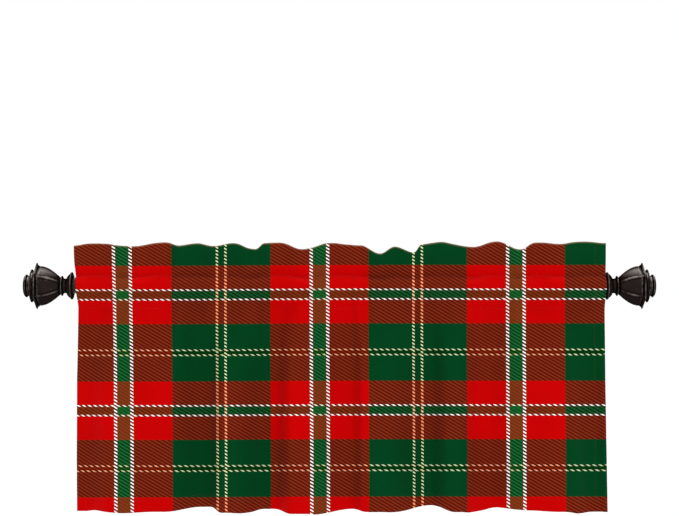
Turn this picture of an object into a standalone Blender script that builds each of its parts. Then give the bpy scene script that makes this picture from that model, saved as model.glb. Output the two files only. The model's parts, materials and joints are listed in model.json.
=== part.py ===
# Window valance on its curtain rod: one piece of cloth with a ruffled heading, a rod pocket and a folded
# skirt, gathered on a round rod that ends in two six-sided finials.
# Metres, +Z up. X runs along the rod and the room is on the -Y side. The origin is the middle of the rod,
# on its axis. "Out" below is the distance from the rod's axis towards the room.
from bisect import bisect_right
from math import acos, atan2, cos, hypot, pi, radians, sin, tau
from typing import NamedTuple

import bmesh
import bpy

# Fit
GAP = 0.0003  # between pieces that touch

# Rod
ROD_RADIUS = 0.0127
ROD_SIDES = 32
FOOT_X = 0.4475  # the finials' inner faces

# Cloth
CLOTH = 0.0012  # thickness of one layer
HEADING_LAYERS = 2
HEADING_KNEE = 0.5  # share of the heading that rises straight off the rod before it leans
POCKET_SLACK = 0.020  # how far the gathered pocket stands off the rod, front and back together
BOTTOM_SEAM = -0.038  # height of the seam under the rod
SEAM_SWAY = 0.35  # share of the pocket's unevenness that the bottom seam follows
FOLD_OPENING = 4  # how soon the folds open to their full depth below the bottom seam
EDGE_PULL = 10  # how sharply the waver of the side edges dies away towards the middle
COLUMNS = 84
HEADING_STEPS = 3
ARC_STEPS = 5
FLANK_STEPS = 2  # straight stretch of the pocket, from the rod down to the bottom seam
SKIRT_STEPS = 8
STEEPEST = 3.0  # cap on how much a slanting layer is thickened across its slope
SLOPE_RUN = 0.001  # a slope is measured this far either way
CLOTH_CREASE = radians(60)

# Finials
FINIAL_FACES = 6
POINTS_PER_FACE = 4
FINIAL_CREASE = radians(28)
BODY_START = 0.0216  # the six-sided body, from the finial's inner face
BODY_END = 0.0550
BODY_NECK = 0.0150  # its radius to the corners where it starts and where it ends
BODY_MOUTH = 0.0338
BODY_STEPS = 6


class Gather(NamedTuple):
    """One wave of the heading's top edge."""

    x: float
    rise: float  # height of the edge above the rod's axis
    out: float  # how far the edge leans towards the room


class Fold(NamedTuple):
    """One crest or valley of the skirt at the hem."""

    x: float
    out: float
    flat: float  # half the width of its rounded top before the flanks start


class Drop(NamedTuple):
    """One low or high stretch of the hem."""

    x: float
    z: float
    flat: float  # half the width of its level stretch


class Side(NamedTuple):
    """Where the cloth's two side edges are at one height."""

    z: float
    left: float
    right: float


class Ring(NamedTuple):
    """One section of the finial, square to the rod."""

    along: float  # from the finial's inner face
    radius: float  # to the corners where the section has six sides
    six_sided: float  # 0 is round, 1 is six-sided


GATHERS = (
    Gather(-0.446, 0.0667, 0.004),
    Gather(-0.417, 0.0706, -0.006),
    Gather(-0.345, 0.0660, 0.012),
    Gather(-0.293, 0.0722, -0.008),
    Gather(-0.268, 0.0672, 0.008),
    Gather(-0.238, 0.0709, -0.004),
    Gather(-0.211, 0.0660, 0.010),
    Gather(-0.182, 0.0712, -0.006),
    Gather(-0.140, 0.0608, 0.014),
    Gather(-0.126, 0.0712, 0.002),
    Gather(-0.102, 0.0717, -0.008),
    Gather(-0.061, 0.0608, 0.014),
    Gather(-0.016, 0.0712, -0.006),
    Gather(0.034, 0.0674, 0.005),
    Gather(0.067, 0.0538, 0.018),
    Gather(0.093, 0.0652, 0.005),
    Gather(0.124, 0.0554, 0.016),
    Gather(0.138, 0.0690, 0.004),
    Gather(0.169, 0.0729, -0.008),
    Gather(0.223, 0.0643, 0.011),
    Gather(0.265, 0.0739, -0.009),
    Gather(0.302, 0.0605, 0.014),
    Gather(0.330, 0.0724, -0.004),
    Gather(0.365, 0.0697, 0.006),
    Gather(0.412, 0.0736, -0.009),
    Gather(0.446, 0.0710, 0.002),
)

FOLDS = (
    Fold(-0.446, -0.006, 0.002),
    Fold(-0.432, -0.006, 0.003),
    Fold(-0.378, 0.024, 0.007),
    Fold(-0.298, 0.007, 0.008),
    Fold(-0.226, -0.019, 0.006),
    Fold(-0.188, 0.018, 0.008),
    Fold(-0.118, -0.013, 0.010),
    Fold(-0.068, 0.025, 0.012),
    Fold(0.010, -0.008, 0.012),
    Fold(0.058, 0.012, 0.018),
    Fold(0.147, -0.017, 0.006),
    Fold(0.190, 0.014, 0.008),
    Fold(0.246, -0.016, 0.006),
    Fold(0.304, 0.006, 0.008),
    Fold(0.376, 0.018, 0.012),
    Fold(0.430, -0.006, 0.006),
    Fold(0.446, -0.002, 0.004),
)

HEM_LINE = (
    Drop(-0.446, -0.3791, 0.014),
    Drop(-0.402, -0.3758, 0.002),
    Drop(-0.350, -0.3782, 0.008),
    Drop(-0.301, -0.3784, 0.006),
    Drop(-0.226, -0.3742, 0.010),
    Drop(-0.192, -0.3786, 0.006),
    Drop(-0.156, -0.3805, 0.004),
    Drop(-0.120, -0.3766, 0.006),
    Drop(-0.068, -0.3792, 0.012),
    Drop(-0.030, -0.3816, 0.004),
    Drop(0.026, -0.3761, 0.004),
    Drop(0.058, -0.3780, 0.012),
    Drop(0.096, -0.3789, 0.004),
    Drop(0.162, -0.3711, 0.004),
    Drop(0.197, -0.3776, 0.004),
    Drop(0.226, -0.3809, 0.004),
    Drop(0.274, -0.3736, 0.004),
    Drop(0.326, -0.3765, 0.004),
    Drop(0.370, -0.3769, 0.008),
    Drop(0.406, -0.3802, 0.004),
    Drop(0.446, -0.3802, 0.006),
)

SIDES = (
    Side(-0.379, -0.4415, 0.4505),
    Side(-0.293, -0.4420, 0.4490),
    Side(-0.160, -0.4415, 0.4465),
    Side(-0.034, -0.4380, 0.4450),
    Side(0.014, -0.4405, 0.4450),
    Side(0.040, -0.4435, 0.4455),
    Side(0.074, -0.4455, 0.4465),
)

NECK_RINGS = (
    Ring(0.0000, 0.0205, 0),
    Ring(0.0012, 0.0228, 0),
    Ring(0.0026, 0.0236, 0),
    Ring(0.0040, 0.0210, 0),
    Ring(0.0066, 0.0188, 0),
    Ring(0.0092, 0.0160, 0),
    Ring(0.0104, 0.0128, 0),
    Ring(0.0122, 0.0113, 0),
    Ring(0.0148, 0.0113, 0),
    Ring(0.0168, 0.0143, 0),
    Ring(0.0180, 0.0170, 0),
    Ring(0.0192, 0.0171, 0),
    Ring(0.0206, 0.0152, 0),
)

CAP_RINGS = (
    Ring(0.0562, 0.0356, 1),
    Ring(0.0600, 0.0393, 1),
    Ring(0.0614, 0.0386, 1),
    Ring(0.0624, 0.0276, 1),
    Ring(0.0645, 0.0250, 0),
    Ring(0.0672, 0.0248, 0),
    Ring(0.0685, 0.0278, 0),
    Ring(0.0698, 0.0270, 0),
    Ring(0.0708, 0.0178, 0),
    Ring(0.0764, 0.0176, 0),
    Ring(0.0778, 0.0192, 0),
    Ring(0.0802, 0.0152, 0),
    Ring(0.0816, 0.0092, 0),
    Ring(0.0824, 0.0030, 0),
)


def ease(share):
    """Rounded step from 0 to 1."""
    share = min(max(share, 0.0), 1.0)
    return 0.5 - 0.5 * cos(pi * share)


def mix(low, high, share):
    return low + (high - low) * share


def wave(rows, x, column, flat=None):
    """The value of a table's column at x, rounded over between its rows."""
    places = [row.x for row in rows]
    after = min(max(bisect_right(places, x), 1), len(rows) - 1)
    a, b = rows[after - 1], rows[after]
    start, end = a.x, b.x
    if flat:
        start, end = start + getattr(a, flat), end - getattr(b, flat)
    return mix(getattr(a, column), getattr(b, column), ease((x - start) / (end - start)))


def placed(x, out, z):
    """A point of the cloth. The side edges waver, and pull along only the cloth next to them."""
    heights = [row.z for row in SIDES]
    after = min(max(bisect_right(heights, z), 1), len(SIDES) - 1)
    a, b = SIDES[after - 1], SIDES[after]
    share = min(max((z - a.z) / (b.z - a.z), 0.0), 1.0)
    left = mix(a.left, b.left, share) - GATHERS[0].x
    right = mix(a.right, b.right, share) - GATHERS[-1].x
    pull = (left if x < 0 else right) * (x / GATHERS[-1].x) ** EDGE_PULL
    return x + pull, -out, z


# The rod pocket's skin: a teardrop that hugs the top of the rod and closes at the bottom seam. Its points
# stand off far enough that the straight runs between them clear the rod too.
WIDEST_STEP = radians(28)
POCKET_RADIUS = (ROD_RADIUS + GAP) / cos(WIDEST_STEP / 2) + CLOTH
SEAM_LEAN = radians(28)  # how far round the rod the top seam is dragged where the heading leans out most
GATHER_OUTS = [row.out for row in GATHERS]
LEAST_OUT, MOST_OUT = min(GATHER_OUTS), max(GATHER_OUTS)


def pocket_bulges(x):
    """How far the pocket stands off the rod at the front and at the back."""
    share = (wave(GATHERS, x, "out") - LEAST_OUT) / (MOST_OUT - LEAST_OUT)
    return POCKET_SLACK * share, POCKET_SLACK * (1 - share)


def seam_angle(x):
    """Where the top seam lies round the rod: 90 degrees is straight above its axis."""
    return pi / 2 - SEAM_LEAN * wave(GATHERS, x, "out") / MOST_OUT


def seam_out(x):
    """How far out the bottom seam is."""
    front, back = pocket_bulges(x)
    return SEAM_SWAY * (front - back)


def skirt_out(x, share):
    """How far out the skirt is, from 0 at the bottom seam to 1 at the hem."""
    return mix(seam_out(x), wave(FOLDS, x, "out", "flat"), 1 - (1 - share) ** FOLD_OPENING)


def across_slope(out_at, x):
    """How much thicker a layer is, measured straight out, where it slants along x."""
    slope = (out_at(x + SLOPE_RUN) - out_at(x - SLOPE_RUN)) / (2 * SLOPE_RUN)
    return min(hypot(1, slope), STEEPEST)


def pocket_side(x, facing):
    """One half of the pocket as (outer, inner) points, from the top seam to the bottom seam.
    facing is 1 for the half towards the room and -1 for the half towards the window."""
    top = seam_angle(x)
    half_foot = HEADING_LAYERS * CLOTH / 2 / POCKET_RADIUS
    start = top - half_foot if facing > 0 else pi - (top + half_foot)
    bulge = pocket_bulges(x)[0 if facing > 0 else 1]
    thick = CLOTH * across_slope(lambda at: pocket_bulges(at)[0], x)
    end = (seam_out(x) * facing + CLOTH / 2, BOTTOM_SEAM)
    leave = atan2(end[1], end[0]) + acos(POCKET_RADIUS / hypot(*end))
    points = []
    for step in range(ARC_STEPS + 1):
        angle = mix(start, leave, step / ARC_STEPS)
        points.append((POCKET_RADIUS * cos(angle), POCKET_RADIUS * sin(angle), angle))
    tangent = points[-1]
    for step in range(1, FLANK_STEPS + 1):
        share = step / FLANK_STEPS
        points.append((mix(tangent[0], end[0], share), mix(tangent[1], end[1], share), leave))
    last = len(points) - 1
    half = []
    for step, (out, z, angle) in enumerate(points):
        share = step / last
        stand = bulge * sin(pi * share) ** 2
        outer = (out + stand * cos(angle), z + stand * sin(angle))
        deep = thick if 0 < step < last else CLOTH
        deep = min(deep, CLOTH + stand)
        inner = (outer[0] - deep * cos(angle), outer[1] - deep * sin(angle))
        half.append((outer, inner))
    return [((facing * o[0], o[1]), (facing * i[0], i[1])) for o, i in half]


def heading(x, foot_front, foot_back):
    """The heading as (front, back) points, from its top edge down to the top seam."""
    lean = wave(GATHERS, x, "out")
    top = (lean + HEADING_LAYERS * CLOTH / 2, wave(GATHERS, x, "rise"))
    up = seam_angle(x)
    reach = HEADING_KNEE * (top[1] - foot_front[1])
    knee = (foot_front[0] + reach * cos(up), foot_front[1] + reach * sin(up))
    thick = HEADING_LAYERS * CLOTH * across_slope(lambda at: wave(GATHERS, at, "out"), x)
    pairs = []
    for step in range(HEADING_STEPS):
        share = 1 - step / HEADING_STEPS
        front = [
            mix(mix(foot_front[k], knee[k], share), mix(knee[k], top[k], share), share) for k in (0, 1)
        ]
        run = [mix(knee[k] - foot_front[k], top[k] - knee[k], share) for k in (0, 1)]
        length = hypot(*run)
        depth = mix(HEADING_LAYERS * CLOTH, thick, ease(2 * share))
        back = (front[0] - depth * run[1] / length, front[1] + depth * run[0] / length)
        pairs.append((tuple(front), back))
    return pairs + [(foot_front, foot_back)]


def skirt(x, front_top, back_top):
    """The skirt as (front, back) points, from the bottom seam down to the hem."""
    pairs = [(front_top, back_top)]
    for step in range(1, SKIRT_STEPS + 1):
        share = step / SKIRT_STEPS
        thick = CLOTH * across_slope(lambda at, share=share: skirt_out(at, share), x)
        z = mix(BOTTOM_SEAM, wave(HEM_LINE, x, "z", "flat"), share)
        out = skirt_out(x, share)
        pairs.append(((out + thick / 2, z), (out - thick / 2, z)))
    return pairs


def cloth_section(x):
    """The cloth cut square to the rod at x: its front, back and pocket lining as (out, z) points."""
    front_half, back_half = pocket_side(x, 1), pocket_side(x, -1)
    head = heading(x, front_half[0][0], back_half[0][0])
    fall = skirt(x, front_half[-1][0], back_half[-1][0])
    front = [pair[0] for pair in head] + [outer for outer, _ in front_half[1:-1]] + [p[0] for p in fall]
    back = [pair[1] for pair in head] + [outer for outer, _ in back_half[1:-1]] + [p[1] for p in fall]
    up = seam_angle(x)
    inside = POCKET_RADIUS - CLOTH
    apex = (inside * cos(up), inside * sin(up))
    low = (seam_out(x), BOTTOM_SEAM + 3 * CLOTH)
    lining_front = [apex] + [inner for _, inner in front_half[1:-1]] + [low]
    lining_back = [apex] + [inner for _, inner in back_half[1:-1]] + [low]
    return front, back, lining_front, lining_back


def material(name, colour, roughness, metallic=0.0):
    made = bpy.data.materials.new(name)
    made.use_nodes = True
    shader = made.node_tree.nodes["Principled BSDF"]
    shader.inputs["Base Color"].default_value = (*colour, 1)
    shader.inputs["Roughness"].default_value = roughness
    shader.inputs["Metallic"].default_value = metallic
    return made


def add(name, bm, made, crease):
    """A node from a finished shape, shaded smooth but for edges sharper than crease."""
    bm.normal_update()
    bmesh.ops.recalc_face_normals(bm, faces=bm.faces)
    mesh = bpy.data.meshes.new(name)
    bm.to_mesh(mesh)
    bm.free()
    mesh.materials.append(made)
    mesh.shade_smooth()
    mesh.set_sharp_from_angle(angle=crease)
    thing = bpy.data.objects.new(name, mesh)
    bpy.context.collection.objects.link(thing)
    return thing


def cloth():
    """A column of points for each place along the rod, joined to the next column all round."""
    bm = bmesh.new()
    columns = []
    for column in range(COLUMNS + 1):
        x = mix(GATHERS[0].x, GATHERS[-1].x, column / COLUMNS)

        def vert(point, x=x):
            return bm.verts.new(placed(x, *point))

        front, back, lining_front, lining_back = cloth_section(x)
        top = ((front[0][0] + back[0][0]) / 2, max(front[0][1], back[0][1]) + CLOTH)
        front = [vert(point) for point in front]
        back = [vert(point) for point in back]
        lining_front = [vert(point) for point in lining_front]
        lining_back = lining_front[:1] + [vert(p) for p in lining_back[1:-1]] + lining_front[-1:]
        columns.append((front, back, lining_front, lining_back, vert(top)))

    for one, two in zip(columns, columns[1:]):
        outer_one = [one[4], *one[0], *reversed(one[1])]
        outer_two = [two[4], *two[0], *reversed(two[1])]
        inner_one = [*one[2], *reversed(one[3][1:-1])]
        inner_two = [*two[2], *reversed(two[3][1:-1])]
        for loop, after in ((outer_one, outer_two), (inner_one, inner_two)):
            for k in range(len(loop)):
                bm.faces.new((loop[k - 1], loop[k], after[k], after[k - 1]))

    seam = HEADING_STEPS
    bottom = HEADING_STEPS + ARC_STEPS + FLANK_STEPS
    for front, back, lining_front, lining_back, top in (columns[0], columns[-1]):
        bm.faces.new((top, front[0], back[0]))
        for k in [*range(seam), *range(bottom, len(front) - 1)]:
            bm.faces.new((front[k], front[k + 1], back[k + 1], back[k]))
        for outer, inner in ((front, lining_front), (back, lining_back)):
            for k in range(bottom - seam):
                bm.faces.new((outer[seam + k], outer[seam + k + 1], inner[k + 1], inner[k]))
        bm.faces.new((front[seam], lining_front[0], back[seam]))
        bm.faces.new((front[bottom], lining_front[-1], back[bottom]))
    made = material("printed_polyester", (0.546, 0.001, 0.001), 0.85)
    return add("valance_cloth", bm, made, CLOTH_CREASE)


def rod():
    """A plain bar between the finials' inner faces."""
    length = 2 * (FOOT_X - GAP)
    bm = bmesh.new()
    bmesh.ops.create_cone(
        bm, cap_ends=True, segments=ROD_SIDES, radius1=ROD_RADIUS, radius2=ROD_RADIUS, depth=length
    )
    for vert in bm.verts:
        vert.co = (vert.co.z, vert.co.x, vert.co.y)
    made = material("dark_bronze", (0.030, 0.020, 0.018), 0.42, 0.7)
    return add("curtain_rod", bm, made, FINIAL_CREASE)


def ring_point(ring, turn):
    """A point of a section at a turn from straight up, with corners at the top and the bottom."""
    face = tau / FINIAL_FACES
    off_middle = (turn % face) - face / 2
    straight = cos(face / 2) / cos(off_middle)
    return ring.radius * mix(1.0, straight, ring.six_sided)


def finial_rings():
    """Every section from the foot to the cap. The six-sided body opens in a quarter wave."""
    body = []
    for step in range(BODY_STEPS + 1):
        share = step / BODY_STEPS
        along = mix(BODY_START, BODY_END, share)
        body.append(Ring(along, mix(BODY_NECK, BODY_MOUTH, sin(pi / 2 * share)), 1))
    return [*NECK_RINGS, *body, *CAP_RINGS]


def finial(name, side, made):
    """Round and six-sided sections, joined one to the next from the foot to the cap."""
    count = FINIAL_FACES * POINTS_PER_FACE
    bm = bmesh.new()
    loops = []
    for ring in finial_rings():
        loop = []
        for step in range(count):
            turn = tau * step / count
            reach = ring_point(ring, turn)
            x = side * (FOOT_X + ring.along)
            loop.append(bm.verts.new((x, reach * sin(turn), reach * cos(turn))))
        loops.append(loop)
    for loop, after in zip(loops, loops[1:]):
        for k in range(count):
            bm.faces.new((loop[k - 1], loop[k], after[k], after[k - 1]))
    bm.faces.new(loops[0])
    bm.faces.new(loops[-1])
    return add(name, bm, made, FINIAL_CREASE)


for old in list(bpy.data.objects):
    bpy.data.objects.remove(old)

cloth()
rod()
bronze = material("aged_bronze", (0.030, 0.020, 0.018), 0.38, 0.8)
finial("finial_left", -1, bronze)
finial("finial_right", 1, bronze)
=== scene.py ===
import json
from bisect import bisect_right
from math import acos, atan2, cos, exp, hypot, pi, radians, sin, tau
from typing import NamedTuple

import bpy
from mathutils import Matrix, Vector, noise

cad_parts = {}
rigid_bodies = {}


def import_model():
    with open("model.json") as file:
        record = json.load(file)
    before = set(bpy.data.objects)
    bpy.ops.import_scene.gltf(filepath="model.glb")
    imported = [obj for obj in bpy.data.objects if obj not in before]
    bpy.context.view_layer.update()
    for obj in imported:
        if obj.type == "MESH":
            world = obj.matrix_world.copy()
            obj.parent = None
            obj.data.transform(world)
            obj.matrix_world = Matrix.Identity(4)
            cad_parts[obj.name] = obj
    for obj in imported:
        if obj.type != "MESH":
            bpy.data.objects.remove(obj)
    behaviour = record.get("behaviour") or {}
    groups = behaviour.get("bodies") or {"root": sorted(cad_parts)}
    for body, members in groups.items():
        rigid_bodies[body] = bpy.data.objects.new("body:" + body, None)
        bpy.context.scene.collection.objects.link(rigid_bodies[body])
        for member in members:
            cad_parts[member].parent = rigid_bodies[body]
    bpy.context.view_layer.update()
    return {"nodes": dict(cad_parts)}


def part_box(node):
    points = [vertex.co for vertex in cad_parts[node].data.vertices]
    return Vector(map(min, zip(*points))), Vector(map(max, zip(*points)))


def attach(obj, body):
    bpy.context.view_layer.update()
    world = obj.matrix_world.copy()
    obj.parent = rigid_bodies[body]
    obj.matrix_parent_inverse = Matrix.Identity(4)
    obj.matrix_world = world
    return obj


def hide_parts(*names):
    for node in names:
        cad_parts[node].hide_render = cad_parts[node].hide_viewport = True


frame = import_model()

# The view. A long lens looks level at the front of the cloth, from far enough off that one pixel of the
# 679 x 516 frame is 1.68 mm at the rod, which lies on row 285.9.
PIXEL = 0.00168
FRAME_WIDTH = 679
FRAME_HEIGHT = 516
ROD_ROW = 285.9
DISTANCE = 2.6
SENSOR = 36.0

lens = bpy.data.cameras.new("view")
lens.sensor_width = SENSOR
lens.lens = SENSOR * DISTANCE / (FRAME_WIDTH * PIXEL)
camera = bpy.data.objects.new("view", lens)
camera.location = (0.0, -DISTANCE, (ROD_ROW - FRAME_HEIGHT / 2) * PIXEL)
camera.rotation_euler = (pi / 2, 0.0, 0.0)
bpy.context.collection.objects.link(camera)
bpy.context.scene.camera = camera
bpy.context.scene.view_settings.view_transform = "Standard"


# The studio. A white floor well below the hem, an even white light all round that is brighter overhead,
# one broad soft lamp in front, to the right and above, which shows the folds, and a long narrow lamp above
# and behind, which the bronze mirrors.
FLOOR_SIZE = 60.0
FLOOR_DEPTH = 0.8
SKY_OVERHEAD = 1.2
SKY_LEVEL = 0.87
LAMP_SIZE = 1.8
LAMP_POWER = 13.0
LAMP_PLACE = Vector((1.3, -3.0, 1.3))
LAMP_AIM = Vector((0.0, 0.0, -0.15))
STRIP_LENGTH = 1.5
STRIP_WIDTH = 0.3
STRIP_POWER = 6.0
STRIP_PLACE = Vector((0.0, 0.35, 1.25))


class Value:
    """A node's output. Arithmetic on it adds Math nodes, and node() adds any other node."""

    def __init__(self, tree, socket=None):
        self.tree = tree
        self.socket = socket

    def node(self, kind, settings=None, sockets=None, out=0):
        """Any node: its type, its settings, the values or links of its sockets, and which output to give."""
        made = self.tree.nodes.new("ShaderNode" + kind)
        for name, setting in (settings or {}).items():
            setattr(made, name, setting)
        for name, value in (sockets or {}).items():
            if isinstance(value, Value):
                self.tree.links.new(value.socket, made.inputs[name])
            else:
                made.inputs[name].default_value = value
        return Value(self.tree, made.outputs[out])

    def math(self, operation, *others):
        sockets = dict(enumerate((self, *others)))
        return self.node("Math", {"operation": operation}, sockets)

    def __add__(self, other):
        return self.math("ADD", other)

    def __mul__(self, other):
        return self.math("MULTIPLY", other)

    def __sub__(self, other):
        return self.math("SUBTRACT", other)

    def __rsub__(self, other):
        return self.node("Math", {"operation": "SUBTRACT"}, {0: other, 1: self})

    def __truediv__(self, other):
        return self.math("DIVIDE", other)

    def clamped(self):
        return self.node("Clamp", None, {0: self})

    def between(self, low, high):
        """The colour low where this is 0 and high where it is 1."""
        return self.node("Mix", {"data_type": "RGBA"}, {0: self, 6: low, 7: high}, out=2)


world = bpy.data.worlds.new("studio")
world.use_nodes = True
bpy.context.scene.world = world
sky = Value(world.node_tree)
upward = sky.node("SeparateXYZ", None, {0: sky.node("TexCoord")}, out=2)
glow = upward.clamped() * (SKY_OVERHEAD - SKY_LEVEL) + SKY_LEVEL
seen = sky.node("LightPath")
strength = seen * (1 - glow) + glow
world.node_tree.links.new(strength.socket, world.node_tree.nodes["Background"].inputs["Strength"])
world.node_tree.nodes["Background"].inputs["Color"].default_value = (1, 1, 1, 1)

bpy.ops.mesh.primitive_plane_add(size=FLOOR_SIZE, location=(0, 0, -FLOOR_DEPTH))
floor = bpy.context.object
floor.name = "floor"
floor_white = bpy.data.materials.new("floor_white")
floor_white.use_nodes = True
paint = floor_white.node_tree.nodes["Principled BSDF"]
paint.inputs["Base Color"].default_value = (0.95, 0.95, 0.95, 1)
paint.inputs["Roughness"].default_value = 0.9
floor.data.materials.append(floor_white)

lamp = bpy.data.lights.new("lamp", "AREA")
lamp.size = LAMP_SIZE
lamp.energy = LAMP_POWER
lamp_stand = bpy.data.objects.new("lamp", lamp)
lamp_stand.location = LAMP_PLACE
lamp_stand.rotation_euler = (LAMP_AIM - LAMP_PLACE).to_track_quat("-Z", "Y").to_euler()
bpy.context.collection.objects.link(lamp_stand)

strip = bpy.data.lights.new("strip", "AREA")
strip.shape = "RECTANGLE"
strip.size = STRIP_LENGTH
strip.size_y = STRIP_WIDTH
strip.energy = STRIP_POWER
strip_stand = bpy.data.objects.new("strip", strip)
strip_stand.location = STRIP_PLACE
bpy.context.collection.objects.link(strip_stand)


# The curtain rod. A plain steel tube 25.4 mm across in dark oil-rubbed bronze enamel. Only a few
# millimetres of it show, between the cloth's side edges and the finials.
BRONZE = (0.024, 0.017, 0.015, 1)
# Painted shade for the undersides of the finials.
BRONZE_PAINTED_SHADE = (0.013, 0.009, 0.008, 1)
# Lighter bare bronze on the rod. On the finials' corners and rims it is partly a painted highlight.
BRONZE_WORN_AND_HIGHLIT = (0.260, 0.220, 0.195, 1)


def new_material(name):
    """A material, the start of its shader expressions, and its Principled shader."""
    made = bpy.data.materials.new(name)
    made.use_nodes = True
    return made, Value(made.node_tree), made.node_tree.nodes["Principled BSDF"]


def feed(start, shader, **sockets):
    """Links values to the shader's sockets, which are named with _ for a space."""
    for name, value in sockets.items():
        start.tree.links.new(value.socket, shader.inputs[name.replace("_", " ")])


rod_bronze, start, shader = new_material("rod_bronze")
place = start.node("TexCoord", out=3)
mottle = start.node("TexNoise", None, {"Vector": place, "Scale": 90.0, "Detail": 5.0})
scuffs = start.node("Mapping", None, {"Vector": place, "Scale": (8.0, 300.0, 300.0)})
scuffs = start.node("TexNoise", None, {"Vector": scuffs, "Scale": 1.0, "Detail": 3.0})
colour = ((mottle - 0.5) * 2.0 + (scuffs - 0.55) * 1.5).clamped().between(BRONZE, BRONZE_WORN_AND_HIGHLIT)
relief = start.node("Bump", None, {"Strength": 0.25, "Distance": 0.0002, "Height": mottle})
feed(start, shader, Base_Color=colour, Roughness=mottle * 0.2 + 0.32, Normal=relief)
shader.inputs["Metallic"].default_value = 0.7

rod = frame["nodes"]["curtain_rod"]
rod.data.materials.clear()
rod.data.materials.append(rod_bronze)


# The cloth. One rectangle of printed tartan polyester, cut 1107 x 648 mm. Its side and bottom edges are
# turned to the back and sewn. Its top is folded over to the back and sewn twice, for the heading and the rod
# pocket, and the rod gathers it to 892 mm. "Out" is the distance from the rod's axis towards the room.
HUNG_HALF = 0.446
POCKET_RADIUS = 0.0142  # of the printed face, where the pocket lies on the rod
POCKET_SLACK = 0.020  # how far the gathered pocket stands off the rod, front and back together
ARC_SHARE = 5 / 7  # how much of each half of the pocket wraps round the rod
SEAM_LEAN = radians(28)  # how far round the rod the top seam is dragged where the heading leans out most
SEAM_FRONT = radians(18)  # how far in front of the rod's top it lies where the heading stands straight
SEAM_STAND = 0.0040  # how far the gathered seam stands off the pocket's round
SEAM_FADE = 0.45  # share of each half of the pocket in which it comes back to that round
BOTTOM_SEAM = -0.038
SEAM_SWAY = 0.35  # share of the pocket's unevenness that the bottom seam follows
HALF_POCKET = 0.070  # length of cloth in each half of the pocket
POCKET_PUFF = 0.0016  # how far the gathered pocket puffs out between its seams
HEADING_KNEE = 0.5  # share of the heading's height at which it bends
HEADING_LIFT = 0.8  # how far the heading's foot is turned from the pocket's slope towards upright
HEM_HEIGHT = -0.379
FOLD_OPENING = 4  # how soon below the seam the folds open
HEM = 0.025  # the turned-up band along the bottom edge
HEM_TUCKED = (0.014, 0.020)  # heights in the tucked-in ply, from its raw edge
HEM_TURNED = (0.018, 0.012, 0.006, 0.0012)  # heights in the turned-up ply
HEM_BEND = 0.0006  # from where a ply starts to bend to the top fold
HEM_ROUND = (0.8, 0.4)  # shares of the turned-up ply's stand-off where it bends into the bottom fold
SIDE_HEM = 0.020
SIDE_ZONE = 0.032  # how far in from a side edge the turned hem keeps the plies further apart
TAIL = 0.006  # how far the back of the pocket runs on below the bottom seam
TAIL_FLARE = 0.0014  # how far that loose edge stands off
WOVEN = 0.0004  # thickness of the cloth
PLY = 0.00095  # from the cloth's face to the face of what is turned to its back
SEWN_APART = (0.00045, 0.00105)  # half the gap between two sewn plies: in the middle, and at the side hems
LOOSE_APART = 0.0006  # the same between the heading's loose plies, in the middle
TUCKED_BEHIND = (0.0006, 0.0011)  # the tucked-in ply behind the face: in the middle, and at the side hems
TURNED_BEHIND = (0.0016, 0.0031)  # the same for the turned-up ply
SIDE_HEM_STEP = 0.0006  # how much further off the tail lies over the side hems
TOP_FOLD = 0.0007  # height of the round of the top fold
SEAM_EASE = 0.020  # below the bottom seam, the face comes back from the seam in this distance
FOLD_BOW = 0.6  # how far a side fold bows out past the edge, in plies
FOLD_PRINT = 0.3  # how much of the print a side fold takes up, in columns


class Gather(NamedTuple):
    """One wave of the heading's top edge: how high above the rod's axis it is, and how far out."""

    x: float
    rise: float
    out: float


class Fold(NamedTuple):
    """One crest or valley of the skirt at the hem. flat is how far it runs on to each side."""

    x: float
    out: float
    flat: float


class Drop(NamedTuple):
    """One low or high stretch of the hem. flat is how far it runs on to each side."""

    x: float
    z: float
    flat: float


class Side(NamedTuple):
    """Where the cloth's side edges are at one height."""

    z: float
    left: float
    right: float


class Crease(NamedTuple):
    """One soft ridge, or trough where depth is negative. It fades out down the skirt from the bottom seam,
    and drifts sideways on the way."""

    x: float
    length: float
    drift: float
    width: float
    depth: float


class Ripple(NamedTuple):
    """Uneven ripples of the cloth: how deep, how wide, how long, and a seed that says which ones."""

    depth: float
    across: float
    along: float
    seed: float


GATHERS = [
    Gather(-0.446, 0.0667, 0.004),
    Gather(-0.417, 0.0706, -0.006),
    Gather(-0.345, 0.0660, 0.012),
    Gather(-0.293, 0.0722, -0.008),
    Gather(-0.268, 0.0672, 0.008),
    Gather(-0.238, 0.0709, -0.004),
    Gather(-0.211, 0.0660, 0.010),
    Gather(-0.182, 0.0712, -0.006),
    Gather(-0.140, 0.0608, 0.014),
    Gather(-0.126, 0.0712, 0.002),
    Gather(-0.102, 0.0717, -0.008),
    Gather(-0.061, 0.0608, 0.014),
    Gather(-0.016, 0.0712, -0.006),
    Gather(0.034, 0.0674, 0.005),
    Gather(0.067, 0.0538, 0.018),
    Gather(0.093, 0.0652, 0.005),
    Gather(0.124, 0.0554, 0.016),
    Gather(0.138, 0.0690, 0.004),
    Gather(0.169, 0.0729, -0.008),
    Gather(0.223, 0.0643, 0.011),
    Gather(0.265, 0.0739, -0.009),
    Gather(0.302, 0.0605, 0.014),
    Gather(0.330, 0.0724, -0.004),
    Gather(0.365, 0.0697, 0.006),
    Gather(0.412, 0.0736, -0.009),
    Gather(0.446, 0.0710, 0.002),
]

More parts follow.
